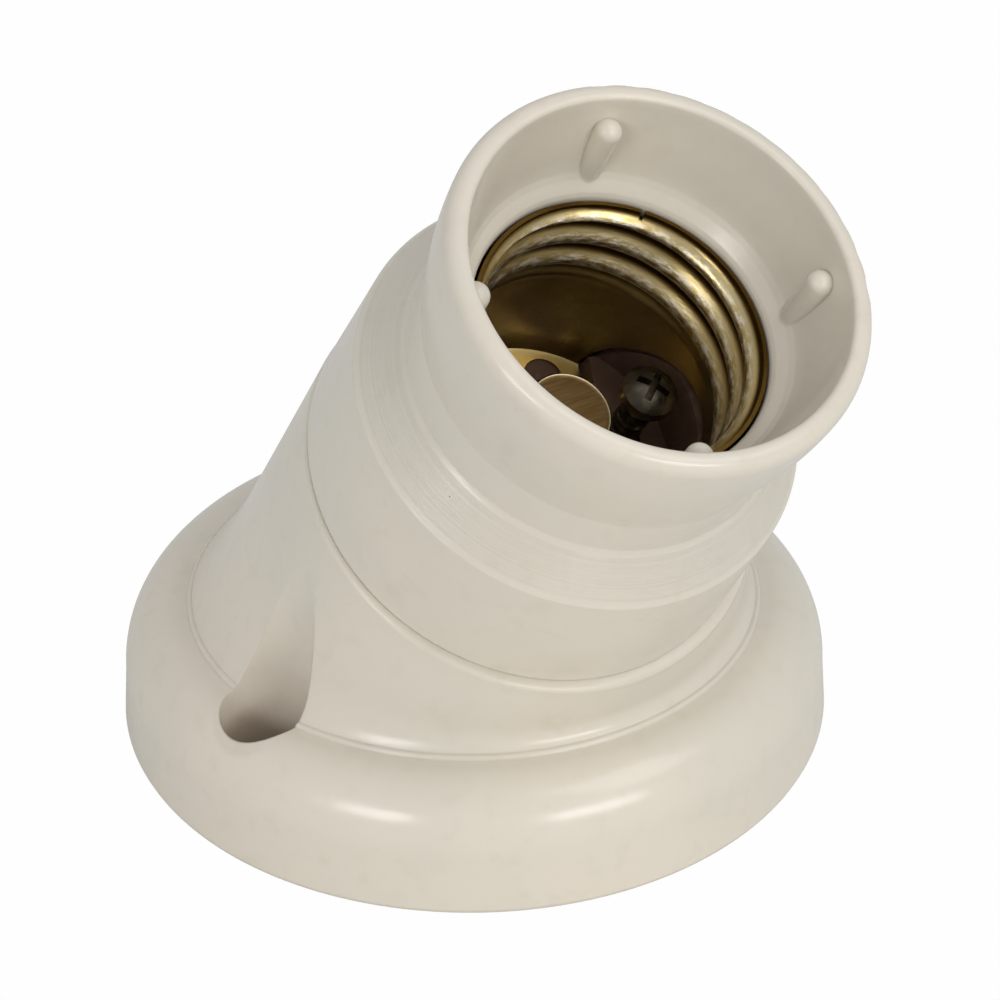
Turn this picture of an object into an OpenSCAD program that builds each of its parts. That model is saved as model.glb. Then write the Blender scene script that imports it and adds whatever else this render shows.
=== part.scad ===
// Angled wall lampholder for a 27 mm screw lamp: a moulded foot with a leaning
// collar, a cover ring screwed over the collar's neck, and inside it a bakelite
// core that carries the brass screw shell, the centre contact and the terminals.
// The wall is the plane z = 0, the origin is the foot's centre, midway between the
// two wall screws, and the lamp's axis leans towards -Y.

/* [Foot] */
// Diameter of the foot at the wall
foot_d = 73.4; // [72:0.2:90]
// Height of the foot where the collar starts
foot_h = 12.8; // [11:0.1:16]
// Height of the foot's steep side, below the rounding
foot_side_h = 5.8; // [3:0.1:7]
// How much the steep side draws in over its height
foot_draft = 0.5; // [0.3:0.1:2]
// Radius of the line where the collar meets the foot
collar_line_r = 29.1; // [27:0.1:30]
// Wall thickness of the cream mouldings
wall_t = 3; // [2:0.1:3.5]

/* [Collar and axis] */
// Lean of the lamp's axis from the wall's normal
lean = 34.2; // [25:0.1:38]
// Distance from the foot's centre back to where the axis meets the wall
axis_back = 11; // [8:0.1:13]
// Distance along the axis from the wall to the collar's rim
collar_top = 38.9; // [38:0.1:44]
// Outer radius of the collar's rim
collar_r = 22.75; // [22.6:0.05:24]
// How far the rim sits forward of the axis
collar_shift = 0.55; // [0:0.05:0.7]
// Width of the hollow fillet at the collar's root
collar_fillet = 1.4; // [0.5:0.1:2]
// Radius of the fine bead between foot and collar
bead_r = 0.4; // [0.2:0.05:0.6]
// Outer radius of the neck that the cover screws over
neck_r = 19.4; // [19:0.1:20]
// Length of the neck above the collar's rim
neck_len = 10.9; // [8:0.1:12]
// Depth of the core's seat below the collar's rim
seat_depth = 3.9; // [3:0.1:5]
// Thickness of the seat plate that the core screws bite into
seat_t = 4; // [3:0.1:5]

/* [Wall screws] */
// Distance between the two wall screws, across the foot's centre
screw_span = 59.2; // [57:0.2:61]
// Turn of the line through the wall screws from the X axis
screw_turn = 15; // [0:1:25]
// Diameter of the screw wells at their floor
well_d = 6.8; // [6.6:0.1:7.6]
// Diameter of the screw wells above their taper
well_top_d = 9.7; // [8:0.1:10.4]
// Height where the wells' taper ends
well_top = 18; // [14:0.5:22]
// Thickness of the floor under a well
well_floor = 4; // [3:0.1:6]
// Diameter of the wall screw's hole
wall_hole_d = 4.6; // [3.6:0.1:5.2]

/* [Cover] */
// Outer radius of the cover at the collar's rim
cover_r = 22.2; // [21.9:0.05:22.4]
// Distance from the collar's rim to the cover's shoulder
shoulder_h = 14.4; // [12.5:0.1:16]
// Inward draft of the tube from rim to shoulder
cover_draft = 0.75; // [0.3:0.05:1]
// Length of the shoulder's bevel along the axis
shoulder_len = 4; // [3:0.1:5]
// Radius of the waist above the shoulder
waist_r = 17.7; // [17.4:0.05:18.2]
// Outer radius of the lip
lip_r = 19.25; // [18.9:0.05:21]
// Distance from the collar's rim to the lip
lip_h = 36.4; // [36:0.1:39]
// Rounding of the lip's outer edge
lip_round = 1.2; // [0.6:0.1:1.4]
// Depth of the ledge below the lip
ledge_depth = 9.7; // [8.6:0.1:9.9]
// Radial clearance between the shell's rim and the cover's hole
hole_gap = 0.35; // [0.25:0.05:0.6]
// Radial clearance between the neck and the cover
neck_gap = 0.35; // [0.3:0.05:0.6]
// Number of stiffening ribs inside the lip
rib_count = 4; // [2:1:8]
// Radius of one rib
rib_r = 1.3; // [0.8:0.1:1.6]
// Turn of the first rib about the axis
rib_turn = 75; // [0:1:90]
// Number of shallow finger flutes on the lip's far side
flute_count = 9; // [3:2:11]
// Angle between two finger flutes
flute_pitch = 12.5; // [12:0.5:16]
// Depth of a finger flute
flute_depth = 0.35; // [0.15:0.05:0.5]
// Turn of the middle flute about the axis
flute_turn = 28; // [0:1:90]

/* [Screw shell] */
// Inner radius over the thread's crests
thread_minor_r = 12.25; // [12.15:0.05:12.4]
// Inner radius in the thread's roots
thread_major_r = 13.35; // [13.2:0.05:13.4]
// Pitch of the lamp thread
thread_pitch = 3.629; // [3.4:0.001:3.8]
// Number of rolled turns
thread_turns = 3; // [2:1:3]
// Thickness of the brass sheet
brass_t = 0.35; // [0.25:0.05:0.4]
// Inner radius of the shell below the thread
shell_r = 12.9; // [12.7:0.05:13]
// Length of the shell from floor to rim
shell_len = 24.6; // [24:0.1:25]
// Radius of the two arched windows
arch_r = 11; // [9.5:0.1:11.5]
// Turn of the arched windows about the axis
arch_turn = -18; // [-25:1:0]
// Distance from the axis to the windows' cut in the floor
arch_in = 6.4; // [6.2:0.1:6.6]

/* [Core] */
// Outer radius of the core's flange
core_r = 17; // [16.8:0.05:17.1]
// Thickness of the core's floor
core_floor_t = 4.6; // [4:0.1:5.5]
// Outer radius of the core's cup
cup_r = 15.3; // [15.1:0.05:15.4]
// Height of the cup above the shell's floor
cup_h = 12; // [11.6:0.1:12.4]
// Radial clearance between the shell and the cup
cup_gap = 0.25; // [0.15:0.05:0.4]
// Height of the lining behind the arched windows
lining_h = 10; // [8:0.1:10.4]
// Height of the platforms that the core screws pass through
platform_h = 2.6; // [1.5:0.1:4]

/* [Contacts and screws] */
// Radius of the centre contact's disc
disc_r = 4.2; // [3.6:0.1:4.4]
// Thickness of the disc
disc_t = 0.7; // [0.5:0.05:1]
// Height of the disc's face above the shell's floor
contact_h = 10.2; // [9:0.1:11]
// Travel of the centre contact
contact_travel = 1.5; // [1:0.1:2]
// Width of the contact's spring tongue
tongue_w = 5.6; // [4:0.1:6]
// Thickness of the spring tongue
tongue_t = 0.5; // [0.4:0.05:0.7]
// Radius of the core screws' circle
core_screw_circle = 8.3; // [8:0.1:8.6]
// Turn of the core screws about the axis
core_screw_turn = -6; // [-12:1:0]
// Shank diameter of the core screws
core_screw_d = 2.6; // [2.2:0.1:3]
// Head diameter of the core screws
core_head_d = 5.4; // [5:0.1:6]
// How far the core screws' heads stand above the shell's floor
core_screw_stand = 12.2; // [11:0.1:13]
// Length of the core screws under the head
core_screw_len = 17.6; // [17.2:0.1:18]
// Width of the strip between a terminal plate's two round pads
terminal_w = 5; // [4:0.1:5.4]
// Distance between a terminal's rivet and its wire screw
terminal_span = 5.5; // [5.3:0.1:5.8]
// Diameter of the terminal screws' heads
terminal_head_d = 5.2; // [5:0.1:5.4]

/* [Hidden] */
$fn = 96;

cream = [0.80, 0.77, 0.70];
bakelite = [0.36, 0.25, 0.21];
brass = [0.72, 0.58, 0.32];
blackened = [0.16, 0.15, 0.14];
eps = 0.01;
far = 80;

foot_r = foot_d / 2;
foot_top_r = collar_line_r + 1.4;
collar_round = 0.5;
seat_s = collar_top - seat_depth;
plate_s = seat_s - seat_t;
neck_top = collar_top + neck_len;
neck_bore_r = core_r + 0.15;
hollow_top = collar_top - wall_t;
well_r = well_d / 2;
well_top_r = well_top_d / 2;
screw_boss_r = well_top_r + 1.2;

shell_floor = seat_s + core_floor_t + brass_t;
shell_rim = shell_floor + shell_len;
thread_len = thread_turns * thread_pitch;
thread_start = shell_rim - 1 - thread_len;
shell_rim_r = thread_major_r + brass_t - 0.15;

shoulder_s = collar_top + shoulder_h;
shoulder_r = cover_r - cover_draft;
waist_s = shoulder_s + shoulder_len;
lip_s = collar_top + lip_h;
ledge_s = lip_s - ledge_depth;
hole_r = shell_rim_r + hole_gap;
cover_bore_r = neck_r + neck_gap;
lip_in_r = lip_r - 2.1;
ledge_r = hole_r + 1.45;
throat_r = waist_r - 2;

cup_in_r = shell_r + brass_t + cup_gap;
core_top = seat_s + core_floor_t;
cup_top = shell_floor + cup_h;
disc_s = shell_floor + contact_h;
screw_head_h = 2.2;
screw_head_s = shell_floor + core_screw_stand - screw_head_h;
screw_tip_s = screw_head_s - core_screw_len;
screw_hole_r = core_head_d / 2 - 0.5;
tongue_root_y = -8;
rivet_r = 1.2;
rivet_head_r = 2.1;
rivet_head_h = 0.6;
fit = 0.05;
tongue_pad = 2.8;
tongue_rest = 3.4;
mouth_r = 5.4;
mouth_gap = 1.4;
shell_rivet_r = shell_r - rivet_head_r - 0.7;
shell_rivet_at = shell_rivet_r * [cos(88), sin(88)];
shell_hole_r = shell_r - 3.1;
shell_hole_at = shell_hole_r * [cos(57), sin(57)];
terminal_t = 1;
terminal_s = seat_s - terminal_t;
pad_r = 2.9;
washer_t = 0.8;
washer_side = 5.6;
terminal_head_h = 2;
terminal_shank_r = 1.45;
live_screw_at = [0, tongue_root_y] + terminal_span * [cos(-7), sin(-7)];
neutral_screw_at = shell_rivet_at + terminal_span * [cos(196), sin(196)];

// Points on a level ring about the foot's centre and on a ring about the lamp's axis
function level_point(a, r, z) = [r * cos(a), r * sin(a), z];
function axis_point(a, r, s, shift = 0) =
    let (up = r * sin(a) - shift)
    [r * cos(a), axis_back - s * sin(lean) + up * cos(lean), s * cos(lean) + up * sin(lean)];
function blend(p, q, t) = p + (q - p) * t;
function arc_points(cx, cy, rx, ry, from, to, steps) =
    [for (i = [0:steps]) let (a = from + (to - from) * i / steps) [cx + rx * cos(a), cy + ry * sin(a)]];

// Puts its children on the lamp's axis, with z measured along it from the wall
module on_axis() {
    translate([0, axis_back, 0]) rotate([lean, 0, 0]) children();
}

module tube(r_out, r_in, s, length) {
    translate([0, 0, s]) difference() {
        cylinder(r = r_out, h = length);
        translate([0, 0, -1]) cylinder(r = r_in, h = length + 2);
    }
}

// Closed skin through a list of rings that have the same number of points each
module ring_loft(rings) {
    n = len(rings[0]);
    rows = len(rings);
    sides = [for (j = [0:rows - 2]) for (i = [0:n - 1])
        [j * n + i, (j + 1) * n + i, (j + 1) * n + (i + 1) % n, j * n + (i + 1) % n]];
    polyhedron(points = [for (ring = rings) each ring],
        faces = concat([[for (i = [0:n - 1]) i]], sides,
            [[for (i = [n - 1:-1:0]) (rows - 1) * n + i]]), convexity = 6);
}

// The collar is ruled from a level circle on the foot to a tilted circle at its rim
function collar_ring(t, inset) = [for (a = [0:7.5:352.5])
    let (flare = collar_fillet * pow(max(0, 1 - t / 0.35), 2),
         low = level_point(a, collar_line_r - collar_fillet + flare - inset, foot_h),
         high = axis_point(a, collar_r - inset, collar_top - collar_round, collar_shift))
    blend(low, high, t)];

module collar_solid() {
    ring_loft(concat(
        [[for (a = [0:7.5:352.5]) level_point(a, collar_line_r, foot_h - 3)]],
        [for (t = [0, 0.06, 0.13, 0.22, 0.35, 0.6, 1]) collar_ring(t, 0)],
        [for (b = [30, 60, 90]) [for (a = [0:7.5:352.5]) axis_point(a,
            collar_r - collar_round * (1 - cos(b)), collar_top - collar_round * (1 - sin(b)), collar_shift)]]));
}

module collar_hollow() {
    intersection() {
        ring_loft(concat(
            [[for (a = [0:7.5:352.5])
                level_point(a, collar_line_r - collar_fillet - wall_t, foot_h - wall_t - 1)]],
            [for (t = [0.35, 1]) collar_ring(t, wall_t)]));
        on_axis() translate([0, 0, -far]) cylinder(r = far, h = far + hollow_top);
    }
}

module foot_solid() {
    rotate_extrude() polygon(concat(
        [[0, 0], [foot_r - 0.4, 0], [foot_r, 0.5]],
        arc_points(foot_top_r, foot_side_h, foot_r - foot_draft - foot_top_r,
            foot_h - 0.2 - foot_side_h, 0, 90, 10),
        [[collar_line_r, foot_h - 0.3], [0, foot_h - 0.3]]));
    translate([0, 0, foot_h - bead_r * 0.6]) rotate_extrude()
        translate([collar_line_r, 0]) circle(r = bead_r, $fn = 32);
}

module foot_hollow() {
    rotate_extrude() polygon([[0, -1], [foot_r - wall_t + 0.2, -1],
        [foot_r - wall_t, foot_side_h], [foot_top_r + 1.6, foot_h - wall_t - 1.6],
        [foot_top_r, foot_h - wall_t], [0, foot_h - wall_t]]);
}

module at_wells() {
    for (side = [0, 180]) rotate(screw_turn + side) translate([screw_span / 2, 0, 0]) children();
}

// Two bosses take the wells, and keep their walls whole where they pass the collar
module well_bosses() {
    intersection() {
        union() {
            foot_solid();
            collar_solid();
        }
        at_wells() cylinder(r = screw_boss_r, h = far);
    }
}

module seat_plate() {
    bridge = 4.2;
    on_axis() difference() {
        translate([0, 0, plate_s]) cylinder(r = neck_r, h = seat_t + 1);
        translate([0, 0, seat_s]) cylinder(r = neck_bore_r, h = seat_t);
        for (side = [-1, 1]) intersection() {
            translate([0, 0, plate_s - 1]) cylinder(r = neck_bore_r - 2, h = seat_t + 2);
            rotate(core_screw_turn) translate([-far / 2, side > 0 ? bridge : -far - bridge, plate_s - 1])
                cube([far, far, seat_t + 2]);
        }
        at_core_screws() translate([0, 0, plate_s - 1])
            cylinder(r = core_screw_d / 2 + fit, h = seat_t + 2);
    }
}

module base_body() {
    color(cream) {
        difference() {
            union() {
                difference() {
                    union() {
                        foot_solid();
                        collar_solid();
                    }
                    foot_hollow();
                    collar_hollow();
                }
                well_bosses();
            }
            at_wells() translate([0, 0, well_floor])
                cylinder(r1 = well_r, r2 = well_top_r, h = well_top - well_floor);
            at_wells() translate([0, 0, well_top - eps]) cylinder(r = well_top_r, h = far);
            at_wells() translate([0, 0, -1]) cylinder(d = wall_hole_d, h = far);
            on_axis() translate([0, 0, hollow_top - 1]) cylinder(r = neck_bore_r, h = far);
        }
        seat_plate();
        on_axis() tube(neck_r, neck_bore_r, seat_s, neck_top - seat_s);
    }
}

// Half section of the cover, from its seat on the collar up to the lip
cover_outside = concat(
    [[cover_r - 0.35, collar_top], [cover_r, collar_top + 0.35], [shoulder_r, shoulder_s - 0.6],
     [shoulder_r - 0.15, shoulder_s], [shoulder_r - 0.6, shoulder_s + 0.6],
     [waist_r + 0.5, waist_s - 0.3], [waist_r + 0.1, waist_s + 0.3], [waist_r, waist_s + 1]],
    [for (i = [0:6]) let (t = i / 6)
        [waist_r - 0.1 + (lip_r - waist_r + 0.1) * sin(90 * t), blend(waist_s + 4.5, lip_s - lip_round, t)]],
    arc_points(lip_r - lip_round, lip_s - lip_round, lip_round, lip_round, 22.5, 90, 3));
cover_inside = [[lip_in_r + 0.55, lip_s - 0.1], [lip_in_r + 0.2, lip_s - 0.5], [lip_in_r - 0.15, lip_s - 2.4],
    [ledge_r + 0.75, ledge_s + 3.6], [ledge_r + 0.4, ledge_s + 2.1], [ledge_r, ledge_s + 1.05],
    [ledge_r - 0.5, ledge_s + 0.3], [hole_r + 0.4, ledge_s - 0.3], [hole_r + 0.1, ledge_s - 0.7],
    [hole_r, ledge_s - 1.1], [hole_r, ledge_s - 2.3], [throat_r - 0.4, ledge_s - 2.3],
    [throat_r, ledge_s - 2.8], [throat_r, waist_s + 0.5], [cover_bore_r - 0.3, shoulder_s + 0.6],
    [cover_bore_r, shoulder_s], [cover_bore_r, collar_top]];

// A rib is a round-topped post half sunk in the flared wall, from the ledge to under the lip
module cover_rib() {
    post_top = lip_s - 3.6;
    translate([ledge_r + 0.7, 0, 0]) {
        translate([0, 0, ledge_s - 1]) cylinder(r = rib_r, h = post_top - ledge_s + 1);
        translate([0, 0, post_top]) sphere(r = rib_r);
    }
}

module cover() {
    color(cream) on_axis() difference() {
        union() {
            rotate_extrude() polygon(concat(cover_outside, cover_inside));
            intersection() {
                for (i = [0:rib_count - 1]) rotate(rib_turn + i * 360 / rib_count) cover_rib();
                translate([0, 0, ledge_s - 2])
                    cylinder(r1 = throat_r, r2 = lip_r - 0.6, h = lip_s - ledge_s + 2);
            }
        }
        for (i = [0:flute_count - 1]) rotate(flute_turn + (i - (flute_count - 1) / 2) * flute_pitch)
            translate([lip_r + 5 - flute_depth, 0, lip_s - 7]) cylinder(r = 5, h = 8);
    }
}

module at_core_screws() {
    for (side = [0, 180]) rotate(core_screw_turn + side) translate([core_screw_circle, 0, 0]) children();
}

// Sector of the shell that one arched window takes, as a bar across the wall
module at_arches() {
    for (side = [0, 180]) rotate(arch_turn + side) children();
}

module core() {
    color(bakelite) on_axis() difference() {
        union() {
            translate([0, 0, seat_s]) cylinder(r = core_r, h = core_floor_t - 0.6);
            translate([0, 0, seat_s]) cylinder(r = cup_r, h = core_floor_t);
            tube(cup_r, cup_in_r, core_top - eps, cup_top - core_top);
            // platforms and linings stand in the shell's arched windows
            intersection() {
                at_arches() translate([arch_in + 0.3, 0, shell_floor]) rotate([0, 90, 0])
                    cylinder(r = arch_r - 0.35, h = cup_in_r);
                difference() {
                    translate([0, 0, core_top - eps]) cylinder(r = cup_in_r + 0.3, h = lining_h);
                    translate([0, 0, core_top + platform_h]) cylinder(r = shell_r, h = lining_h);
                }
            }
        }
        at_core_screws() {
            translate([0, 0, seat_s - 1]) cylinder(r = core_screw_d / 2 + 0.3, h = far);
            translate([0, 0, seat_s + 2]) cylinder(r = screw_hole_r, h = far);
        }
        rivet_hole([0, tongue_root_y]);
        rivet_hole(shell_rivet_at);
        at_terminals() translate([0, 0, seat_s - 1]) cylinder(r = terminal_shank_r + 0.15, h = 3.4);
    }
}

module rivet_hole(at) {
    translate([at[0], at[1], terminal_s - 1]) cylinder(r = rivet_r + fit, h = far);
}

module at_terminals() {
    for (at = [live_screw_at, neutral_screw_at]) translate([at[0], at[1], 0]) children();
}

// Rolled wall: each turn starts and ends on half of a short crest land, as [turn, depth]
thread_form = [[0, 0], [0.07, 0], [0.15, 0.2], [0.25, 0.55], [0.36, 0.88], [0.46, 1],
    [0.54, 1], [0.64, 0.88], [0.75, 0.55], [0.85, 0.2], [0.93, 0]];
thread_wall = concat([for (i = [0:thread_turns - 1]) for (p = thread_form)
    [blend(thread_minor_r, thread_major_r, p[1]), thread_start + (i + p[0]) * thread_pitch]],
    [[thread_minor_r, thread_start + thread_len]]);

shell_inside = concat([[0, shell_floor], [shell_r - 1, shell_floor], [shell_r - 0.3, shell_floor + 0.3],
    [shell_r, shell_floor + 1], [shell_r, thread_start - 0.6]],
    thread_wall, [[shell_rim_r - brass_t, shell_rim - 0.5], [shell_rim_r - brass_t, shell_rim]]);
shell_outside = concat([[shell_rim_r, shell_rim], [shell_rim_r, shell_rim - 0.5]],
    [for (i = [len(thread_wall) - 1:-1:0]) thread_wall[i] + [brass_t, 0]],
    [[shell_r + brass_t, thread_start - 0.6], [shell_r + brass_t, shell_floor + 0.9],
     [shell_r - 0.1, shell_floor], [shell_r - 0.8, shell_floor - brass_t], [0, shell_floor - brass_t]]);

module screw_shell() {
    color(brass) on_axis() difference() {
        rotate_extrude() polygon(concat(shell_inside, shell_outside));
        at_arches() translate([arch_in, 0, shell_floor]) rotate([0, 90, 0]) cylinder(r = arch_r, h = far);
        // mouth in the floor that keeps the live tongue clear of the shell
        translate([0, 0, shell_floor - 1]) cylinder(r = mouth_r, h = 2);
        translate([-tongue_w / 2 - mouth_gap, tongue_root_y - tongue_pad - 0.8, shell_floor - 1])
            cube([tongue_w + 2 * mouth_gap, tongue_pad + 0.8 - tongue_root_y, 2]);
        translate([shell_hole_at[0], shell_hole_at[1], shell_floor - 1]) cylinder(r = 2, h = 2);
        translate([shell_rivet_at[0], shell_rivet_at[1], shell_floor - 1])
            cylinder(r = rivet_r + 2 * fit, h = 2);
        // slit where the sheet's edges meet at the rim
        rotate(52) translate([shell_r - 0.5, -0.2, shell_rim - 1]) cube([2, 0.4, 2]);
    }
}

// The tongue is one folded strip: a foot under its rivet, a riser and a rest under the disc
module contact_tongue() {
    foot_z = core_top;
    rest_z = disc_s - disc_t - contact_travel - tongue_t;
    bend_y = tongue_root_y + tongue_pad + 0.3;
    color(brass) on_axis() difference() {
        translate([-tongue_w / 2, 0, 0]) rotate([90, 0, 90]) linear_extrude(tongue_w) polygon([
            [tongue_root_y - tongue_pad, foot_z], [bend_y, foot_z], [bend_y + tongue_t, foot_z + 0.2],
            [0.2, rest_z - tongue_t], [0.7, rest_z], [tongue_rest, rest_z], [tongue_rest, rest_z + tongue_t],
            [0.4, rest_z + tongue_t], [-0.3, rest_z + 0.1], [bend_y + 0.2, foot_z + tongue_t + 0.2],
            [bend_y - 0.2, foot_z + tongue_t], [tongue_root_y - tongue_pad, foot_z + tongue_t]]);
        translate([0, tongue_root_y, foot_z - 1]) cylinder(r = rivet_r + fit, h = 3);
    }
}

module contact_disc() {
    color(brass) on_axis() {
        rotate_extrude() polygon([[0, disc_s - disc_t], [disc_r - 0.15, disc_s - disc_t],
            [disc_r, disc_s - disc_t + 0.15], [disc_r, disc_s - 0.2], [disc_r - 0.2, disc_s],
            [disc_r - 0.5, disc_s - 0.08], [0, disc_s - 0.08]]);
        translate([0, 1.9, disc_s - disc_t - contact_travel]) cylinder(r = 1.1, h = contact_travel + 0.1);
    }
}

// Hollow rivet between a face above the core and the terminal plate below it
module rivet(at, top) {
    bottom = terminal_s;
    translate([at[0], at[1], 0]) difference() {
        union() {
            translate([0, 0, bottom - rivet_head_h]) cylinder(r = rivet_head_r, h = rivet_head_h);
            translate([0, 0, bottom - eps]) cylinder(r = rivet_r, h = top - bottom + 2 * eps);
            translate([0, 0, top]) cylinder(r1 = rivet_head_r, r2 = rivet_head_r - 0.4, h = rivet_head_h);
        }
        translate([0, 0, bottom - 2]) cylinder(r = rivet_r - 0.45, h = top - bottom + 4);
    }
}

module centre_rivet() {
    color(brass) on_axis() rivet([0, tongue_root_y], core_top + tongue_t);
}

module shell_rivet() {
    color(brass) on_axis() rivet(shell_rivet_at, shell_floor);
}

module pan_head(d, h) {
    difference() {
        intersection() {
            cylinder(d = d, h = h);
            translate([0, 0, h - d * 0.72]) sphere(r = d * 0.72);
        }
        for (a = [45, 135]) rotate(a) translate([-d * 0.3, -d * 0.065, h - 1.2]) cube([d * 0.6, d * 0.13, 2]);
    }
}

module core_screws() {
    color(blackened) on_axis() at_core_screws() {
        translate([0, 0, screw_tip_s]) cylinder(d1 = core_screw_d - 1, d2 = core_screw_d, h = 1);
        translate([0, 0, screw_tip_s + 1]) cylinder(d = core_screw_d, h = core_screw_len - 1);
        translate([0, 0, screw_head_s]) pan_head(core_head_d, screw_head_h);
    }
}

// A terminal plate lies under the core: a strip with a round pad at its rivet and at its wire screw
module terminal_plate(rivet_at, screw_at) {
    run = screw_at - rivet_at;
    on_axis() difference() {
        union() {
            for (at = [rivet_at, screw_at]) translate([at[0], at[1], terminal_s])
                cylinder(r = pad_r, h = terminal_t);
            translate([rivet_at[0], rivet_at[1], terminal_s]) rotate(atan2(run[1], run[0]))
                translate([0, -terminal_w / 2, 0]) cube([terminal_span, terminal_w, terminal_t]);
        }
        translate([rivet_at[0], rivet_at[1], terminal_s - 1]) cylinder(r = rivet_r + fit, h = 3);
        translate([screw_at[0], screw_at[1], terminal_s - 1]) cylinder(r = terminal_shank_r + fit, h = 3);
    }
}

module live_terminal() {
    color(brass) terminal_plate([0, tongue_root_y], live_screw_at);
}

module neutral_terminal() {
    color(brass) terminal_plate(shell_rivet_at, neutral_screw_at);
}

module terminal_screws() {
    color(brass) on_axis() at_terminals() {
        translate([0, 0, terminal_s - washer_t - eps])
            cylinder(r = terminal_shank_r, h = terminal_t + washer_t + 2);
        translate([0, 0, terminal_s - washer_t]) rotate([180, 0, 0])
            pan_head(terminal_head_d, terminal_head_h);
    }
}

module clamp_washers() {
    color(brass) on_axis() at_terminals() translate([0, 0, terminal_s - washer_t]) difference() {
        translate([-washer_side / 2, -washer_side / 2, 0]) cube([washer_side, washer_side, washer_t]);
        translate([0, 0, -1]) cylinder(r = terminal_shank_r + fit, h = washer_t + 2);
    }
}

base_body();
cover();
core();
screw_shell();
contact_tongue();
contact_disc();
centre_rivet();
shell_rivet();
core_screws();
live_terminal();
neutral_terminal();
terminal_screws();
clamp_washers();
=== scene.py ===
import math

import bmesh
import bpy
from mathutils import Matrix, Vector


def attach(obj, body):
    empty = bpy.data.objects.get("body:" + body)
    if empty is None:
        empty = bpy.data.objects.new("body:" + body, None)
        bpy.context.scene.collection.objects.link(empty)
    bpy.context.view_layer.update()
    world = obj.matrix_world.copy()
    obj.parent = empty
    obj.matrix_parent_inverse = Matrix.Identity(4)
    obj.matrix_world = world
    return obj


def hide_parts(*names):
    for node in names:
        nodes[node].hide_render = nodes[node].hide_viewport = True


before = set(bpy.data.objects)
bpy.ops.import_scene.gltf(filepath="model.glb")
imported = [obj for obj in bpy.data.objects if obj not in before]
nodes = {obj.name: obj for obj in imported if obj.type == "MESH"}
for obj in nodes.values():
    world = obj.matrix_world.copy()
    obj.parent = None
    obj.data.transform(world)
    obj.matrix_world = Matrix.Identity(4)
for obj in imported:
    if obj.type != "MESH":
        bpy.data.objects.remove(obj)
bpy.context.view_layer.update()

# Foot with its leaning collar
# One compression moulding of pale glossy urea plastic, greyer in places, with a few dark
# specks of scorched powder. It is hollow below, has two open wells for the wall screws, and
# its collar carries the neck and the seat plate.
MM = 1e-3
LEAN = math.radians(34.2)
AXIS_BACK = 11
TO_AXIS = Matrix.Translation((0, AXIS_BACK * MM, 0)) @ Matrix.Rotation(LEAN, 4, "X")


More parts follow.
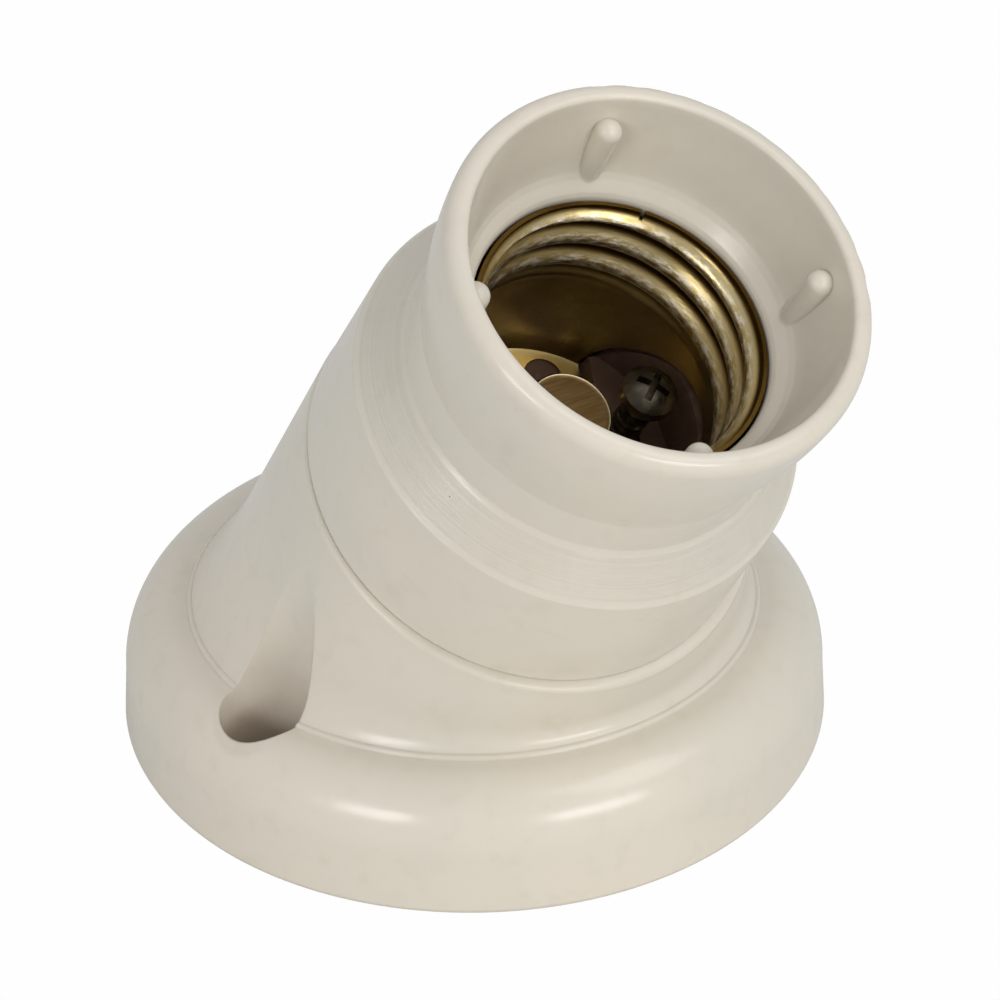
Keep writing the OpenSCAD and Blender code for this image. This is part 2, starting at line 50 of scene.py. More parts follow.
class Finish:
    """Builds the material of one finish, node by node."""

    def __init__(self, name):
        self.material = bpy.data.materials.new(name)
        self.material.use_nodes = True
        self.tree = self.material.node_tree
        self.surface = self.tree.nodes["Principled BSDF"]
        self.place = self.tree.nodes.new("ShaderNodeTexCoord").outputs["Object"]

    def put(self, socket, value):
        if isinstance(value, bpy.types.NodeSocket):
            self.tree.links.new(value, socket)
        else:
            socket.default_value = value

    def set(self, name, value):
        self.put(self.surface.inputs[name], value)

    def reckon(self, operation, a, b=0.0):
        node = self.tree.nodes.new("ShaderNodeMath")
        node.operation = operation
        self.put(node.inputs[0], a)
        self.put(node.inputs[1], b)
        return node.outputs[0]

    def times(self, a, b):
        return self.reckon("MULTIPLY", a, b)

    def length(self, a, b):
        return self.reckon("SQRT", self.reckon("ADD", self.times(a, a), self.times(b, b)))

    def noise(self, scale, detail, vector=None, roughness=0.5):
        node = self.tree.nodes.new("ShaderNodeTexNoise")
        self.put(node.inputs["Vector"], vector or self.place)
        self.put(node.inputs["Scale"], scale)
        self.put(node.inputs["Detail"], detail)
        self.put(node.inputs["Roughness"], roughness)
        return node.outputs["Fac"]

    def ramp(self, value, low, high, to_low=0.0, to_high=1.0):
        """Smooth step from to_low to to_high while the value goes from low to high."""
        node = self.tree.nodes.new("ShaderNodeMapRange")
        node.interpolation_type = "SMOOTHSTEP"
        self.put(node.inputs["Value"], value)
        self.put(node.inputs["From Min"], low)
        self.put(node.inputs["From Max"], high)
        self.put(node.inputs["To Min"], to_low)
        self.put(node.inputs["To Max"], to_high)
        return node.outputs[0]

    def mix(self, share, a, b):
        node = self.tree.nodes.new("ShaderNodeMix")
        node.data_type = "RGBA"
        self.put(node.inputs["Factor"], share)
        self.put(node.inputs[6], a)
        self.put(node.inputs[7], b)
        return node.outputs[2]

    def specks(self, scale, radius, share):
        """1 on scattered dots of that radius in metres, 0 elsewhere."""
        node = self.tree.nodes.new("ShaderNodeTexVoronoi")
        self.put(node.inputs["Vector"], self.place)
        self.put(node.inputs["Scale"], scale)
        dot = self.ramp(node.outputs["Distance"], radius * scale, radius * scale * 0.6)
        split = self.tree.nodes.new("ShaderNodeSeparateColor")
        self.put(split.inputs[0], node.outputs["Color"])
        return self.times(dot, self.reckon("LESS_THAN", split.outputs[0], share))

    def split(self, vector):
        node = self.tree.nodes.new("ShaderNodeSeparateXYZ")
        self.put(node.inputs[0], vector)
        return node.outputs

    def mapped(self, vector, kind="POINT", **settings):
        node = self.tree.nodes.new("ShaderNodeMapping")
        node.vector_type = kind
        self.put(node.inputs["Vector"], vector)
        for name, value in settings.items():
            self.put(node.inputs[name], value)
        return node.outputs[0]

    def follow_axis(self):
        """Adds the place in the lamp axis's own frame, the height along it and the radius about it."""
        self.local = self.mapped(
            self.place, "TEXTURE", Location=(0, AXIS_BACK * MM, 0), Rotation=(LEAN, 0, 0))
        x, y, self.height = self.split(self.local)
        self.radius = self.length(x, y)

    def bump(self, height, distance, strength, normal=None):
        node = self.tree.nodes.new("ShaderNodeBump")
        self.put(node.inputs["Distance"], distance)
        self.put(node.inputs["Strength"], strength)
        self.put(node.inputs["Height"], height)
        if normal is not None:
            self.put(node.inputs["Normal"], normal)
        return node.outputs[0]


def srgb(*levels):
    """A colour as it is read from a picture, 0 to 255, as the linear values Blender works in."""
    linear = [((c / 255 + 0.055) / 1.055) ** 2.4 if c > 10 else c / 255 / 12.92 for c in levels]
    return (*linear, 1.0)


def cream(name):
    """The pale plastic. A piece adds to its colour and normal and then sets them."""
    finish = Finish(name)
    tone = finish.ramp(finish.noise(scale=38, detail=2), 0.35, 0.65)
    colour = finish.mix(tone, srgb(219, 210, 195), srgb(213, 207, 193))
    greyer = finish.ramp(finish.noise(scale=420, detail=4), 0.5, 0.8)
    colour = finish.mix(finish.times(greyer, 0.35), colour, srgb(204, 196, 178))
    scorched = finish.specks(scale=330, radius=0.11 * MM, share=0.05)
    colour = finish.mix(finish.times(scorched, 0.75), colour, srgb(96, 78, 62))
    finish.set("Roughness", finish.ramp(finish.noise(scale=160, detail=3), 0.3, 0.7, 0.18, 0.26))
    finish.set("Subsurface Weight", 0.08)
    finish.set("Subsurface Radius", (1.2 * MM, 0.9 * MM, 0.6 * MM))
    finish.set("Subsurface Scale", 1.0)
    edge = finish.tree.nodes.new("ShaderNodeBevel")
    edge.samples = 4
    edge.inputs["Radius"].default_value = 0.3 * MM
    normal = finish.bump(finish.noise(scale=55, detail=2), 0.12 * MM, 0.4, edge.outputs[0])
    normal = finish.bump(finish.noise(scale=900, detail=2), 0.02 * MM, 0.5, normal)
    return finish, colour, normal


def finished(obj, angle=35):
    """Faces outward, no doubled points, flat only across edges sharper than the angle."""
    shape = bmesh.new()
    shape.from_mesh(obj.data)
    bmesh.ops.remove_doubles(shape, verts=shape.verts, dist=1e-6)
    bmesh.ops.recalc_face_normals(shape, faces=shape.faces)
    for face in shape.faces:
        face.smooth = True
    for edge in shape.edges:
        edge.smooth = len(edge.link_faces) == 2 and edge.calc_face_angle(0) < math.radians(angle)
    shape.to_mesh(obj.data)
    shape.free()
    return obj


def skinned(name, verts, faces):
    mesh = bpy.data.meshes.new(name)
    mesh.from_pydata(verts, [], faces)
    obj = bpy.data.objects.new(name, mesh)
    bpy.context.collection.objects.link(obj)
    return finished(obj)


def round_turns(steps):
    return [math.tau * i / steps for i in range(steps)]


def ring(x, y, r, z, steps, side=1):
    """Level circle of points in millimetres. Side -1 gives its twin across the foot's centre."""
    return [(side * (x + r * math.cos(a)), side * (y + r * math.sin(a)), z) for a in round_turns(steps)]


def loft(name, rings):
    """Closed skin through rings of points in millimetres, each with as many points as the first."""
    count = len(rings[0])
    last = (len(rings) - 1) * count
    faces = [list(range(count)), list(range(last, last + count))[::-1]]
    for low in range(0, last, count):
        high = low + count
        for i in range(count):
            j = (i + 1) % count
            faces.append([low + i, high + i, high + j, low + j])
    return skinned(name, [Vector(point) * MM for points in rings for point in points], faces)


def lathe(name, profile, steps, reach=lambda turn, r, z: r):
    """Closed profile of (radius, height) in millimetres, turned about Z; reach may change a radius."""
    count = len(profile)
    verts = []
    for turn in round_turns(steps):
        for r, z in profile:
            reached = reach(turn, r, z)
            verts.append((reached * math.cos(turn) * MM, reached * math.sin(turn) * MM, z * MM))
    faces = []
    for i in range(steps):
        here = i * count
        there = (i + 1) % steps * count
        for j in range(count):
            k = (j + 1) % count
            faces.append([here + j, there + j, there + k, here + k])
    return skinned(name, verts, faces)


def arc(cx, cz, rx, rz, start, end, steps):
    turns = [math.radians(start + (end - start) * i / steps) for i in range(steps + 1)]
    return [(cx + rx * math.cos(turn), cz + rz * math.sin(turn)) for turn in turns]


def combine(obj, others, operation):
    """Adds or cuts the other objects, which are used up."""
    for other in others:
        step = obj.modifiers.new("step", "BOOLEAN")
        step.operation = operation
        step.solver = "EXACT"
        step.object = other
    solved = obj.evaluated_get(bpy.context.evaluated_depsgraph_get())
    obj.data = bpy.data.meshes.new_from_object(solved)
    obj.modifiers.clear()
    for other in others:
        bpy.data.objects.remove(other)


def drum(x, y, r, low, high):
    """Upright cylinder in millimetres."""
    return loft("drum", [ring(x, y, r, z, 96) for z in (low, high)])


def join(obj, others):
    """Puts the other objects' closed shells into the first one's mesh."""
    shape = bmesh.new()
    for part in [obj] + others:
        shape.from_mesh(part.data)
    shape.to_mesh(obj.data)
    shape.free()
    for part in others:
        bpy.data.objects.remove(part)


def painted(obj, material):
    obj.data.materials.clear()
    obj.data.materials.append(material)


FOOT_R = 36.7
FOOT_STEPS = 192
COLLAR_LOW = 12.8
COLLAR_LOW_R = 27.7
COLLAR_FLARE = 1.4
FLARE_SHARE = 0.35
COLLAR_RIM = 38.4
COLLAR_RIM_R = 22.75
RIM_ROUND = 0.5
RIM_OFFSET = 0.55
WALL = 3
LATHE_AXIS = 0.01


def on_collar(a, r, height):
    """Point on a circle square to the lamp's axis, whose centre lies a little off that axis."""
    up = r * math.sin(a) - RIM_OFFSET
    y = AXIS_BACK - height * math.sin(LEAN) + up * math.cos(LEAN)
    z = height * math.cos(LEAN) + up * math.sin(LEAN)
    return Vector((r * math.cos(a), y, z))


def collar_ring(share, inset):
    """The collar runs from a level circle on the foot to a tilted circle at its rim."""
    low_r = COLLAR_LOW_R + COLLAR_FLARE * max(0, 1 - share / FLARE_SHARE) ** 2 - inset
    points = []
    for a in round_turns(FOOT_STEPS):
        low = Vector((low_r * math.cos(a), low_r * math.sin(a), COLLAR_LOW))
        points.append(low.lerp(on_collar(a, COLLAR_RIM_R - inset, COLLAR_RIM), share))
    return points


foot_side = [(LATHE_AXIS, 0), (36.3, 0), (36.55, 0.15), (FOOT_R, 0.5)]
foot_shoulder = arc(30.5, 5.8, 5.7, 6.8, 0, 90, 24) + [(29.6, 12.58)]
collar_bead = arc(29.1, 12.56, 0.4, 0.4, 5, 170, 10)
foot_top = [(28.6, 12.5), (LATHE_AXIS, 12.5)]
foot = lathe("foot_cast", foot_side + foot_shoulder + collar_bead + foot_top, FOOT_STEPS)
collar_shares = [0, 0.03, 0.06, 0.09, 0.12, 0.16, 0.2, 0.25, 0.3, 0.35, 0.45, 0.6, 0.75, 0.9, 1]
collar = [ring(0, 0, 29.1, 9.8, FOOT_STEPS)]
collar += [collar_ring(share, 0) for share in collar_shares]
for r, height in arc(COLLAR_RIM_R - RIM_ROUND, COLLAR_RIM, RIM_ROUND, RIM_ROUND, 15, 90, 5):
    collar.append([on_collar(a, r, height) for a in round_turns(FOOT_STEPS)])
combine(foot, [loft("collar", collar)], "UNION")

# the void below leaves the foot's skirt and top, the collar's wall and a boss round each well
WELL_OUT = 29.6
WELL_TURN = math.radians(15)
WELL_X = round(WELL_OUT * math.cos(WELL_TURN), 2)
WELL_Y = round(WELL_OUT * math.sin(WELL_TURN), 2)
WELL_FLOOR = 4
WELL_FLOOR_R = 3.4
WELL_DRIFT = (0.16, 0.5)
WELL_GROWTH = 0.93
OUTWARD_LEAN = (0.115, 0.15)
OUTWARD_GROWTH = 0.139
BOSS_R = 6.05
SCREW_HOLE_R = 2.3
under_foot = [(LATHE_AXIS, -1), (33.9, -1), (33.7, 5.8), (32.1, 8.2), (30.5, 9.8), (LATHE_AXIS, 9.8)]
hollow = lathe("hollow", under_foot, 96)
inner = [ring(0, 0, 24.7, 8.8, FOOT_STEPS)]
inner += [collar_ring(share, WALL) for share in (FLARE_SHARE, 0.88)]
combine(hollow, [loft("inner", inner)], "UNION")
bosses = [drum(side * WELL_X, side * WELL_Y, BOSS_R, -5, 60) for side in (-1, 1)]
combine(hollow, bosses, "DIFFERENCE")


def well_ring(z, side):
    """A well is a cone that drifts inwards up to the foot's top, then leans out and widens."""
    below = min(1, (z - WELL_FLOOR) / (COLLAR_LOW - WELL_FLOOR))
    above = max(0, z - COLLAR_LOW)
    x = -WELL_X + WELL_DRIFT[0] * below - OUTWARD_LEAN[0] * above
    y = -WELL_Y + WELL_DRIFT[1] * below * below - OUTWARD_LEAN[1] * above
    r = WELL_FLOOR_R + WELL_GROWTH * below + OUTWARD_GROWTH * above
    return ring(x, y, r, z, 96, side)


wells = []
for side in (1, -1):
    well_heights = (WELL_FLOOR, 6, 8, 10, 11.5, COLLAR_LOW, 14, 16, 19, 23, 28, 36, 50)
    wells.append(loft("well", [well_ring(z, side) for z in well_heights]))
    wells.append(drum(side * -WELL_X, side * -WELL_Y, SCREW_HOLE_R, -1, WELL_FLOOR + 1))

SEAT_LOW = 31
SEAT_TOP = 35
SEAT_BORE_R = 15.15
NECK_BORE_R = 17.15
NECK_R = 19.4
NECK_TOP = 49.8
BRIDGE_HALF_LENGTH = 16
BRIDGE_HALF_WIDTH = 4.2
CORE_TURN = math.radians(-6)
bore = drum(0, 0, NECK_BORE_R, SEAT_TOP - 0.1, 60)
bore.data.transform(TO_AXIS)
combine(foot, [hollow, bore] + wells, "DIFFERENCE")
neck_wall = [(NECK_BORE_R, SEAT_TOP), (NECK_BORE_R, NECK_TOP), (NECK_R, NECK_TOP), (NECK_R, SEAT_LOW)]
seat_edge = [(SEAT_BORE_R, SEAT_LOW), (SEAT_BORE_R, SEAT_TOP)]
neck = lathe("neck", neck_wall + seat_edge, 128)
neck.data.transform(TO_AXIS)
corners = [(x * BRIDGE_HALF_LENGTH, y * BRIDGE_HALF_WIDTH) for x, y in ((-1, -1), (1, -1), (1, 1), (-1, 1))]
bridge = loft("bridge", [[(x, y, z) for x, y in corners] for z in (SEAT_LOW, SEAT_TOP)])
bridge.data.transform(TO_AXIS @ Matrix.Rotation(CORE_TURN, 4, "Z"))
join(foot, [neck, bridge])

# painted shade: the two screw wells turn darker and browner towards their bottoms
finish, colour, normal = cream("cream_foot")
x, y, z = finish.split(finish.place)
along = finish.reckon(
    "ADD", finish.times(x, math.cos(WELL_TURN)), finish.times(y, math.sin(WELL_TURN)))
across = finish.reckon(
    "SUBTRACT", finish.times(y, math.cos(WELL_TURN)), finish.times(x, math.sin(WELL_TURN)))
beyond = finish.reckon("SUBTRACT", finish.reckon("ABSOLUTE", along), WELL_OUT * MM)
in_well = finish.ramp(finish.length(beyond, across), 5.2 * MM, 4.6 * MM)
painted_well_shade = finish.times(finish.ramp(z, 13.5 * MM, 5 * MM), in_well)
colour = finish.mix(finish.times(painted_well_shade, 0.55), colour, srgb(150, 128, 108))
finish.set("Base Color", colour)
finish.set("Normal", normal)
painted(foot, finish.material)
finished(foot, 28)
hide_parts("base_body")
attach(foot, "holder")

# Cover ring
# The same plastic, moulded separately and turned on a lathe at the shoulder, where fine
# tool lines run round the bevel. It screws over the collar's neck.
COVER_STEPS = 288
WAIST_R = 17.6
WAIST = 61.8
LIP_FLARE = 1.65
LIP_RISE = 12.0
FLARE_STEPS = 14
tube = [(21.9, 38.9), (22.12, 39.0), (22.2, 39.25), (21.44, 53.22), (17.74, 57.54), (17.62, WAIST)]
flare = []
for i in range(1, FLARE_STEPS + 1):
    widened = WAIST_R + LIP_FLARE * math.sin(math.pi / 2 * i / FLARE_STEPS)
    flare.append((widened, WAIST + LIP_RISE * i / FLARE_STEPS))
lip = arc(18.0, 73.8, 1.25, 1.5, 6, 90, 16) + arc(17.75, 74.8, 0.5, 0.5, 90, 170, 8)
mouth = [(17.18, 74.2), (17.02, 72.9), (16.6, 71.0), (16.15, 69.2), (15.9, 68.2), (15.7, 67.4)]
mouth += [(15.4, 66.7), (15.0, 66.1), (14.5, 65.6), (14.15, 65.2), (13.95, 64.8), (13.9, 64.4)]
below_mouth = [(13.9, 63.3), (15.3, 63.3), (15.7, 62.8), (15.7, 57.8)]
neck_socket = [(19.45, 53.9), (19.75, 53.3), (19.75, 38.9)]

LIP_R = WAIST_R + LIP_FLARE
FLUTED_FROM_R = 17.9
FLUTE_LOW = 67
FLUTE_FULL = 72
FLUTE_DEPTH = 0.55
FLUTE_HALF_WIDTH = 1.68
FLUTE_MIDDLE = 28
FLUTE_STEP = 10
FLUTES_EACH_SIDE = 5
FLUTE_TURNS = []
for i in range(-FLUTES_EACH_SIDE, FLUTES_EACH_SIDE + 1):
    FLUTE_TURNS.append(math.radians(FLUTE_MIDDLE + FLUTE_STEP * i))


def smooth(x, low, high):
    t = min(1, max(0, (x - low) / (high - low)))
    return t * t * (3 - 2 * t)


def fluted(a, r, z):
    """Shallow finger flutes in the far side of the lip's outer edge."""
    if z < FLUTE_LOW or r < FLUTED_FROM_R:
        return r
    depth = FLUTE_DEPTH * smooth(z, FLUTE_LOW, FLUTE_FULL)
    for turn in FLUTE_TURNS:
        off = abs(math.remainder(a - turn, math.tau)) * LIP_R
        if off < FLUTE_HALF_WIDTH:
            r = min(r, LIP_R - depth * (1 - (off / FLUTE_HALF_WIDTH) ** 2))
    return r


cover_profile = tube + flare + lip + mouth + below_mouth + neck_socket
cover = lathe("cover_turned", cover_profile, COVER_STEPS, fluted)

# four round-topped ribs inside the mouth
RIB_R = 1.25
RIB_OUT = 16.1
rib_outline = [(RIB_R, 64.8)] + arc(0, 71.8, RIB_R, RIB_R, 0, 84, 8)
ribs = []
for turn in (75, 165, 255, 345):
    rib = loft("rib", [ring(RIB_OUT, 0, r, z, 32) for r, z in rib_outline])
    rib.data.transform(Matrix.Rotation(math.radians(turn), 4, "Z"))
    ribs.append(rib)
join(cover, ribs)
cover.data.transform(TO_AXIS)

finish, colour, normal = cream("cream_cover")
finish.follow_axis()
tool_lines = finish.noise(1, 3, finish.times(finish.height, 9000.0), 0.7)
bevel_low = finish.ramp(finish.height, 53.4 * MM, 53.9 * MM)
bevel_high = finish.ramp(finish.height, 57.3 * MM, 56.8 * MM)
on_bevel = finish.times(bevel_low, bevel_high)
finish.set("Base Color", colour)
finish.set("Normal", finish.bump(finish.times(tool_lines, on_bevel), 0.1 * MM, 0.9, normal))
painted(cover, finish.material)
finished(cover, 10)
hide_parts("cover")
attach(cover, "cover_ring")

# Core
# Brown bakelite cup that carries the metal parts, moulded in one. It is duller than the
# cream mouldings, with pale flow lines and dust.
finish = Finish("brown_bakelite")
tone = finish.ramp(finish.noise(scale=180, detail=4), 0.35, 0.7)
colour = finish.mix(tone, srgb(112, 86, 74), srgb(134, 106, 92))
dust = finish.ramp(finish.noise(scale=900, detail=5), 0.58, 0.75)
colour = finish.mix(finish.times(dust, 0.4), colour, srgb(150, 128, 112))
finish.set("Base Color", colour)
finish.set("Roughness", finish.ramp(finish.noise(scale=300, detail=3), 0.3, 0.7, 0.38, 0.52))
finish.set("Normal", finish.bump(finish.noise(scale=700, detail=4), 0.05 * MM, 0.6))
painted(nodes["core"], finish.material)

# Screw shell
# Thin brass sheet, drawn to a cup and rolled with the lamp thread, riveted to the core.
# Its crests are scraped bright by lamp caps and its grooves are tarnished brown. The CAD
# node has rings of the same pitch; this piece stands for it with the true helix.
SHELL_FLOOR = 39.95 * MM
SHELL_RIM = 64.55 * MM
SHEET = 0.35 * MM
SHELL_R = 12.9 * MM
PLAIN_TOP = 52.1 * MM
PITCH = 3.629 * MM
THREAD_CREST = 63.7 * MM
THREAD_WAVE = 0.5 * MM
THREAD_INSET = 0.1 * MM
THREAD_BEGINS = (52.7 * MM, 54.7 * MM)
THREAD_ENDS = (63.4 * MM, 64.2 * MM)
RIM_SPREAD = 0.4 * MM
RIM_SPREADS = (63.1 * MM, 64.3 * MM)
SHELL_STEPS = 160
PLAIN_STEPS = 6
THREAD_STEPS = 62


def shell_radius(turn, z):
    """Inside radius of the rolled wall, right-handed, with the crests nearest the axis."""
    plain = SHELL_R + RIM_SPREAD * smooth(z, *RIM_SPREADS)
    depth = smooth(z, *THREAD_BEGINS) * (1 - smooth(z, *THREAD_ENDS))
    wave = math.cos(math.tau * ((z - THREAD_CREST) / PITCH - (turn - math.pi / 2) / math.tau))
    return plain + depth * (-THREAD_INSET - THREAD_WAVE * wave)


wall_low = SHELL_FLOOR + 1 * MM
wall_heights = [wall_low + i * (PLAIN_TOP - wall_low) / PLAIN_STEPS for i in range(PLAIN_STEPS + 1)]
thread_step = (SHELL_RIM - PLAIN_TOP) / THREAD_STEPS
wall_heights += [PLAIN_TOP + (i + 1) * thread_step for i in range(THREAD_STEPS)]
below_cup = SHELL_FLOOR - SHEET
cup_inside = [(6 * MM, SHELL_FLOOR), (11.9 * MM, SHELL_FLOOR), (12.5 * MM, SHELL_FLOOR + 0.2 * MM)]
cup_outside = [(6 * MM, below_cup), (12.1 * MM, below_cup), (12.95 * MM, SHELL_FLOOR + 0.15 * MM)]
turns = round_turns(SHELL_STEPS)
pairs = [(i, (i + 1) % SHELL_STEPS) for i in range(SHELL_STEPS)]
verts = []
faces = []
rims = []
for sheet, cup, centre_height in ((0.0, cup_inside, SHELL_FLOOR), (SHEET, cup_outside, below_cup)):
    rows = [[(r, z)] * SHELL_STEPS for r, z in cup]
    rows += [[(shell_radius(turn, z) + sheet, z) for turn in turns] for z in wall_heights]
    centre = len(verts)
    verts.append((0, 0, centre_height))
    ids = []
    for row in rows:
        ids.append(range(len(verts), len(verts) + SHELL_STEPS))
        verts += [(r * math.cos(turn), r * math.sin(turn), z) for turn, (r, z) in zip(turns, row)]
    for i, j in pairs:
        faces.append((centre, ids[0][i], ids[0][j]))
        faces += [(low[i], low[j], high[j], high[i]) for low, high in zip(ids, ids[1:])]
    rims.append(ids[-1])
faces += [(rims[0][i], rims[0][j], rims[1][j], rims[1][i]) for i, j in pairs]
shell = skinned("shell_thread", verts, faces)


def cutter(kind, matrix, size):
    """A round cutter's size is its two radii and its length, a square one's is its three widths."""
    if kind == "round":
        bpy.ops.mesh.primitive_cylinder_add(vertices=96, radius=1, depth=1)
    else:
        bpy.ops.mesh.primitive_cube_add(size=1)
    obj = bpy.context.object
    obj.data.transform(matrix @ Matrix.Diagonal((*size, 1)))
    return obj


def through_floor(kind, x, y, size_x, size_y):
    """Cutter through the cup's floor, in millimetres."""
    place = Matrix.Translation((x * MM, y * MM, SHELL_FLOOR))
    return cutter(kind, place, (size_x * MM, size_y * MM, 3 * MM))


# two arched windows, the contact's round mouth with its slot, a plain round hole, the rivet's
# hole, and the slit at the rim where the sheet's edges meet
WINDOW_TURN = -18
WINDOW_OUT = 16.4 * MM
WINDOW_R = 11 * MM
SLIT_TURN = math.radians(52)
SLIT_OUT = 13.4 * MM
cutters = []
for side in (0, 180):
    turned = Matrix.Rotation(math.radians(WINDOW_TURN + side), 4, "Z")
    lying = Matrix.Translation((WINDOW_OUT, 0, SHELL_FLOOR)) @ Matrix.Rotation(math.pi / 2, 4, "Y")
    cutters.append(cutter("round", turned @ lying, (WINDOW_R, WINDOW_R, 20 * MM)))
cutters.append(through_floor("round", 0, 0, 5.4, 5.4))
cutters.append(through_floor("square", 0, -5.8, 8.4, 11.6))
cutters.append(through_floor("round", 5.34, 8.22, 2, 2))
cutters.append(through_floor("round", 0.35, 10.09, 1.3, 1.3))
slit = Matrix.Rotation(SLIT_TURN, 4, "Z") @ Matrix.Translation((SLIT_OUT, 0, SHELL_RIM))
cutters.append(cutter("square", slit, (2 * MM, 0.35 * MM, 1.6 * MM)))
combine(shell, cutters, "DIFFERENCE")
shell.data.transform(TO_AXIS)
finished(shell)

finish = Finish("shell_brass")
finish.follow_axis()
stretched = finish.mapped(finish.local, Scale=(1.0, 1.0, 4.0))
in_thread = finish.ramp(finish.height, 53.5 * MM, 55 * MM)
crest = finish.times(finish.ramp(finish.radius, 13 * MM, 12.4 * MM), in_thread)
groove = finish.times(finish.ramp(finish.radius, 12.9 * MM, 13.3 * MM), in_thread)
patchy = finish.ramp(finish.noise(900, 5, stretched, 0.7), 0.42, 0.62)
bright = finish.times(crest, patchy)
tone = finish.ramp(finish.noise(scale=150, detail=4), 0.3, 0.7)
colour = finish.mix(tone, srgb(200, 182, 134), srgb(178, 158, 108))
colour = finish.mix(groove, colour, srgb(88, 66, 26))
colour = finish.mix(bright, colour, srgb(236, 230, 216))
spots = finish.specks(scale=700, radius=0.1 * MM, share=0.1)
colour = finish.mix(finish.times(spots, 0.7), colour, srgb(60, 42, 18))
finish.set("Base Color", colour)
finish.set("Metallic", 1.0)
finish.set("Roughness", finish.mix(bright, (0.30, 0.30, 0.30, 1), (0.5, 0.5, 0.5, 1)))
finish.set("Normal", finish.bump(finish.noise(1400, 4, stretched), 0.04 * MM, 0.7))
painted(shell, finish.material)
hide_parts("screw_shell")
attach(shell, "holder")

# Centre contact
# Round brass disc that a lamp presses down, on the folded spring strip under it. The disc's
# face is brushed and dull; a painted highlight lightens its edge, which is also made glossier.
HIGHLIT_RIM_FROM = 3.8 * MM
HIGHLIT_RIM_FULL = 4.1 * MM
finish = Finish("disc_brass")
finish.follow_axis()
brushed = finish.mapped(finish.local, Scale=(0.12, 1.6, 1.0), Rotation=(0, 0, math.radians(25)))
lines = finish.noise(2600, 3, brushed)
# painted highlight: a pale ring of colour on the disc's edge
painted_rim_highlight = finish.ramp(finish.radius, HIGHLIT_RIM_FROM, HIGHLIT_RIM_FULL)
colour = finish.mix(finish.ramp(lines, 0.35, 0.7), srgb(98, 76, 45), srgb(112, 90, 58))
colour = finish.mix(painted_rim_highlight, colour, srgb(222, 208, 168))
spots = finish.specks(scale=500, radius=0.14 * MM, share=0.08)
colour = finish.mix(finish.times(spots, 0.6), colour, srgb(84, 62, 34))
finish.set("Base Color", colour)
finish.set("Metallic", 1.0)
finish.set("Roughness", finish.ramp(finish.radius, HIGHLIT_RIM_FROM, HIGHLIT_RIM_FULL, 0.44, 0.22))
finish.set("Normal", finish.bump(lines, 0.01 * MM, 0.3))
painted(nodes["contact_disc"], finish.material)

# Spring strip, rivets, terminals and washers
# Small stampings and turned pieces of plain brass, a little uneven in colour and shine.
# Most of them lie under the core, out of sight.
finish = Finish("plain_brass")
tone = finish.ramp(finish.noise(scale=260, detail=4), 0.3, 0.7)
finish.set("Base Color", finish.mix(tone, srgb(196, 172, 112), srgb(172, 146, 86)))
finish.set("Metallic", 1.0)
finish.set("Roughness", finish.ramp(finish.noise(scale=500, detail=3), 0.3, 0.7, 0.25, 0.4))
for name in ("contact_tongue", "centre_rivet", "shell_rivet", "live_terminal", "neutral_terminal",
             "terminal_screws", "clamp_washers"):
    painted(nodes[name], finish.material)

# Core screws
# Two blackened pan-head screws with a cross recess, which hold the core down to the base.
# Their rolled thread is a helical ridge that follows the shank from the core up to the head.
finish = Finish("blackened_steel")
tone = finish.ramp(finish.noise(scale=700, detail=4), 0.35, 0.7)
finish.set("Base Color", finish.mix(tone, srgb(78, 72, 62), srgb(112, 102, 86)))
finish.set("Metallic", 0.85)
finish.set("Roughness", finish.ramp(finish.noise(scale=900, detail=3), 0.3, 0.7, 0.24, 0.42))
painted(nodes["core_screws"], finish.material)

THREAD_LOW = 37.4 * MM
THREAD_HIGH = 49.6 * MM
SCREW_OUT = 8.3 * MM
RIDGE_SIZES = {
    "Thread pitch": 1.05 * MM,
    "Length": THREAD_HIGH - THREAD_LOW,
    "Shank radius": 1.3 * MM,
    "Ridge radius": 0.36 * MM,
}
ridge_tree = bpy.data.node_groups.new("screw_ridge", "GeometryNodeTree")
ridge_tree.interface.new_socket("Geometry", in_out="OUTPUT", socket_type="NodeSocketGeometry")
for name in RIDGE_SIZES:
    ridge_tree.interface.new_socket(name, in_out="INPUT", socket_type="NodeSocketFloat")
wire = ridge_tree.links.new
sizes = ridge_tree.nodes.new("NodeGroupInput")
result = ridge_tree.nodes.new("NodeGroupOutput")
rotations = ridge_tree.nodes.new("ShaderNodeMath")
rotations.operation = "DIVIDE"
wire(sizes.outputs["Length"], rotations.inputs[0])
wire(sizes.outputs["Thread pitch"], rotations.inputs[1])
spiral = ridge_tree.nodes.new("GeometryNodeCurveSpiral")
spiral.inputs["Resolution"].default_value = 28
wire(sizes.outputs["Shank radius"], spiral.inputs["Start Radius"])
wire(sizes.outputs["Shank radius"], spiral.inputs["End Radius"])
wire(rotations.outputs[0], spiral.inputs["Rotations"])
wire(sizes.outputs["Length"], spiral.inputs["Height"])
section = ridge_tree.nodes.new("GeometryNodeCurvePrimitiveCircle")
section.inputs["Resolution"].default_value = 4
wire(sizes.outputs["Ridge radius"], section.inputs["Radius"])
sweep = ridge_tree.nodes.new("GeometryNodeCurveToMesh")
sweep.inputs["Fill Caps"].default_value = True
wire(spiral.outputs[0], sweep.inputs["Curve"])
wire(section.outputs[0], sweep.inputs["Profile Curve"])
paint = ridge_tree.nodes.new("GeometryNodeSetMaterial")
paint.inputs["Material"].default_value = finish.material
wire(sweep.outputs[0], paint.inputs["Geometry"])
realize = ridge_tree.nodes.new("GeometryNodeRealizeInstances")
wire(paint.outputs[0], realize.inputs[0])
wire(realize.outputs[0], result.inputs[0])

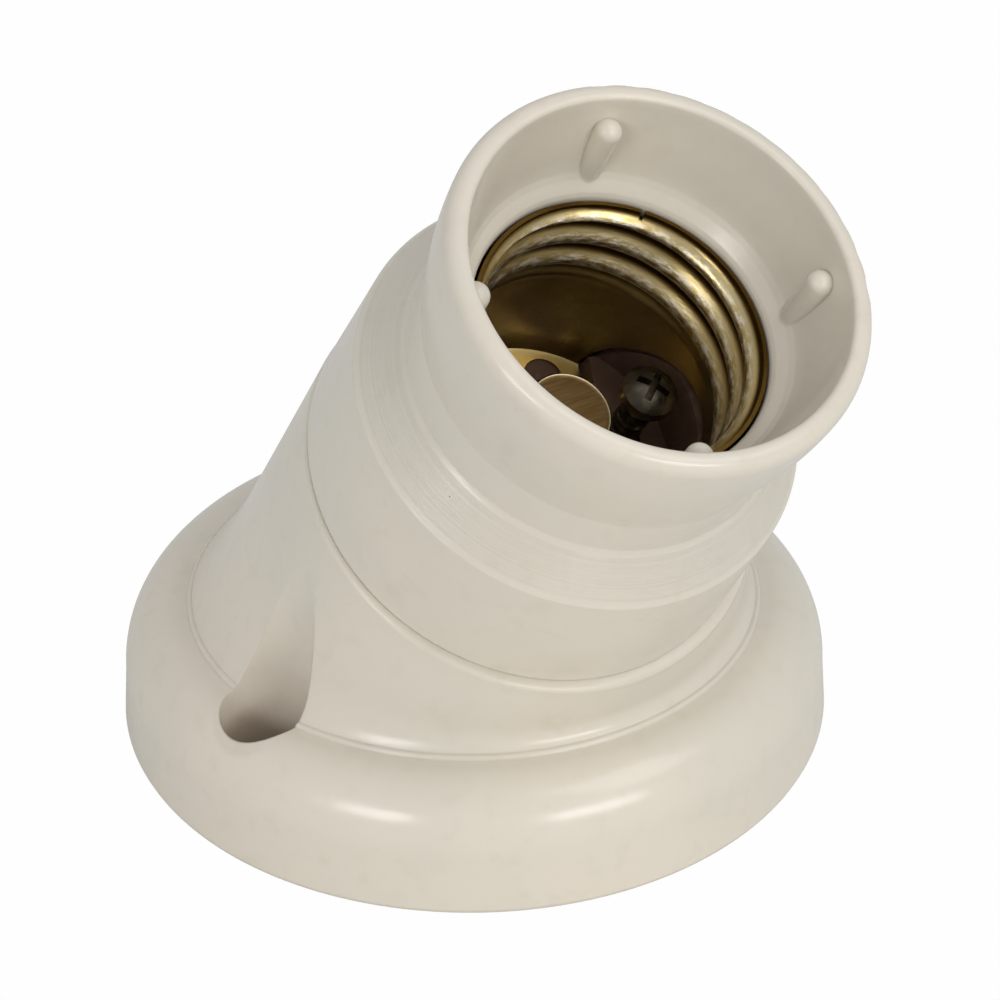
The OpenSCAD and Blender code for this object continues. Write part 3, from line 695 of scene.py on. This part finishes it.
for number, side in ((1, 0), (2, math.pi)):
    ridge = bpy.data.objects.new(f"core_screw_thread_{number}", bpy.data.meshes.new("ridge"))
    bpy.context.collection.objects.link(ridge)
    winding = ridge.modifiers.new("ridge", "NODES")
    winding.node_group = ridge_tree
    for item in ridge_tree.interface.items_tree:
        if item.name in RIDGE_SIZES:
            winding[item.identifier] = RIDGE_SIZES[item.name]
    wound = ridge.evaluated_get(bpy.context.evaluated_depsgraph_get())
    mesh = bpy.data.meshes.new_from_object(wound)
    ridge.modifiers.clear()
    ridge.data = mesh
    turned = Matrix.Rotation(CORE_TURN + side, 4, "Z")
    ridge.data.transform(TO_AXIS @ turned @ Matrix.Translation((SCREW_OUT, 0, THREAD_LOW)))
    finished(ridge)
    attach(ridge, "holder")

# Floor and background
# A pale matt table that only the camera sees as plain white, as in the photograph, and an
# even sky that lights the piece softly from all round.
TABLE = (0.78, 0.78, 0.76, 1)
SKY = (0.97, 0.98, 1.0, 1)
SKY_STRENGTH = 0.585
WHITE = (1, 1, 1, 1)
WHITE_STRENGTH = 0.99


def white_to_camera(tree, kind, hidden, output):
    """Plain white where the camera looks straight at it, and the hidden shader for all other rays."""
    white = tree.nodes.new(kind)
    white.inputs["Color"].default_value = WHITE
    white.inputs["Strength"].default_value = WHITE_STRENGTH
    ray = tree.nodes.new("ShaderNodeLightPath")
    choose = tree.nodes.new("ShaderNodeMixShader")
    tree.links.new(ray.outputs["Is Camera Ray"], choose.inputs[0])
    tree.links.new(hidden.outputs[0], choose.inputs[1])
    tree.links.new(white.outputs[0], choose.inputs[2])
    tree.links.new(choose.outputs[0], tree.nodes[output].inputs[0])


bpy.ops.mesh.primitive_plane_add(size=4, location=(0, 0, -0.2 * MM))
floor = bpy.context.object
floor.name = "floor"
table = bpy.data.materials.new("table")
table.use_nodes = True
table.node_tree.nodes.remove(table.node_tree.nodes["Principled BSDF"])
matt = table.node_tree.nodes.new("ShaderNodeBsdfDiffuse")
matt.inputs["Color"].default_value = TABLE
white_to_camera(table.node_tree, "ShaderNodeEmission", matt, "Material Output")
floor.data.materials.append(table)

world = bpy.data.worlds.new("studio")
bpy.context.scene.world = world
world.use_nodes = True
sky = world.node_tree.nodes["Background"]
sky.inputs["Color"].default_value = SKY
sky.inputs["Strength"].default_value = SKY_STRENGTH
white_to_camera(world.node_tree, "ShaderNodeBackground", sky, "World Output")

# Lights
# Three softboxes on the camera's side: a low one far to its left, a low one to its right,
# towards which the holder leans, and the large key light high above that one.
LIT_POINT = Vector((0, -0.01, 0.03))


def softbox(name, place, width, height, power):
    light = bpy.data.lights.new(name, "AREA")
    light.shape = "RECTANGLE"
    light.size = width
    light.size_y = height
    light.energy = power
    box = bpy.data.objects.new(name, light)
    bpy.context.collection.objects.link(box)
    box.location = place
    box.rotation_euler = (LIT_POINT - Vector(place)).to_track_quat("-Z", "Y").to_euler()


softbox("left_box", (-0.57, -0.29, 0.28), width=0.25, height=0.16, power=0.9)
softbox("front_box", (0.04, -0.66, 0.25), width=0.32, height=0.15, power=1.05)
softbox("key_box", (0.30, -0.50, 0.75), width=0.5, height=0.5, power=1.65)

# Camera
# Where the photographer stood and how the camera was held, found by fitting the foot, collar
# and lip circles to the photograph's edges.
CAMERA_PLACE = Vector((-0.1132612, -0.1827843, 0.1581142))
BEARING = math.radians(-32.5163)
TILT = math.radians(57.8133)
ROLL = math.radians(-0.3316)
camera = bpy.data.cameras.new("camera")
camera.lens = 90.45
camera.sensor_width = 36
camera.clip_start = 0.01
eye = bpy.data.objects.new("camera", camera)
bpy.context.collection.objects.link(eye)
aim = Matrix.Rotation(BEARING, 4, "Z") @ Matrix.Rotation(TILT, 4, "X") @ Matrix.Rotation(ROLL, 4, "Z")
eye.matrix_world = Matrix.Translation(CAMERA_PLACE) @ aim
scene = bpy.context.scene
scene.camera = eye

scene.render.engine = "CYCLES"
scene.render.resolution_x = 1000
scene.render.resolution_y = 1000
scene.cycles.samples = 96
scene.cycles.use_denoising = True
scene.view_settings.view_transform = "Standard"
